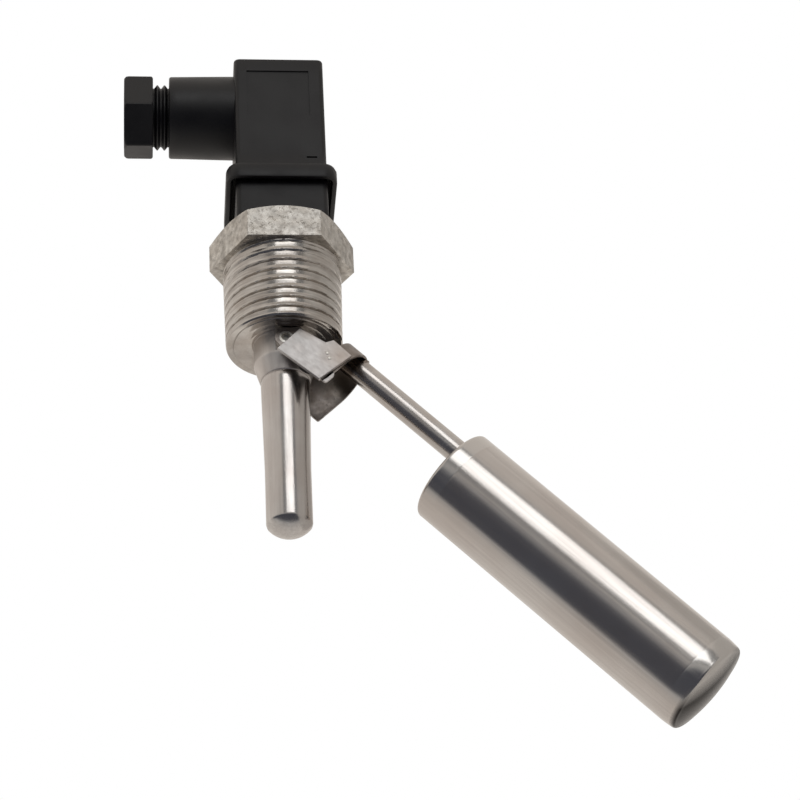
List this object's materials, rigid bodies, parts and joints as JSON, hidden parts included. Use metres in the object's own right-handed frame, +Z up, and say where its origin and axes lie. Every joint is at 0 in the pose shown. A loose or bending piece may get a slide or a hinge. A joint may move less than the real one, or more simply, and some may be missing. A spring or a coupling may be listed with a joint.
{
  "type": "float level switch",
  "caption": "Side-mounted float level switch: threaded hexagon plug, square plug-in connector with cable gland, stem, and a hinged lever with a long cylindrical float.",
  "frame": {"origin": "on the axis of the process thread, at the plug's seat face under the hexagon", "axes": "+X out along the thread and stem into the vessel, +Z up with the cable gland upwards and the float hanging below, +Y towards the side with the lever's cover plate"},
  "size_m": [0.1304, 0.022, 0.1005],
  "materials": {
    "stainless": "satin stainless steel, turned and milled",
    "tube": "drawn stainless tube, lightly polished",
    "bracket_sheet": "pressed stainless sheet, tinted by welding",
    "plate_sheet": "matt stainless sheet",
    "float_steel": "polished stainless steel",
    "magnet_grey": "sintered magnet, dark grey",
    "black_plastic": "moulded black plastic, fine matt grain",
    "insert_grey": "moulded grey plastic",
    "carrier_white": "natural white plastic",
    "wire_red": "wire insulation",
    "wire_blue": "wire insulation",
    "rubber_black": "soft rubber",
    "contact_brass": "bare brass",
    "screw_steel": "plated steel",
    "reed_glass": "clear glass, slightly green",
    "lead_metal": "tinned wire"
  },
  "bodies": {
    "switch_body": {"hex_plug": "stainless", "stem_tube": "tube", "hinge_pin_front": "stainless", "hinge_pin_rear": "stainless", "reed_carrier": "carrier_white", "reed_capsule": "reed_glass", "reed_lead_upper": "lead_metal", "reed_lead_lower": "lead_metal", "wire_supply": "wire_red", "wire_return": "wire_blue", "connector_base": "black_plastic", "contact_blade_1": "contact_brass", "contact_blade_2": "contact_brass", "contact_blade_3": "contact_brass", "earth_blade": "contact_brass", "profile_gasket": "rubber_black", "connector_housing": "black_plastic", "terminal_insert": "insert_grey", "terminal_screws": "screw_steel", "centre_screw": "screw_steel", "screw_seal": "rubber_black", "gland_nut": "black_plastic", "gland_washer": "screw_steel", "gland_seal": "rubber_black"},
    "float_lever": {"lever_bracket": "bracket_sheet", "cover_plate": "plate_sheet", "magnet": "magnet_grey", "float_rod": "float_steel", "float_shell": "float_steel", "float_top_cap": "float_steel", "float_bottom_cap": "float_steel"}
  },
  "joints": [
    {"name": "lever_pivot", "type": "hinge", "parent": "switch_body", "child": "float_lever", "pos_m": [0.018, 0, 0], "axis": [0, -1, 0], "range_deg": [0, 45.85]}
  ]
}
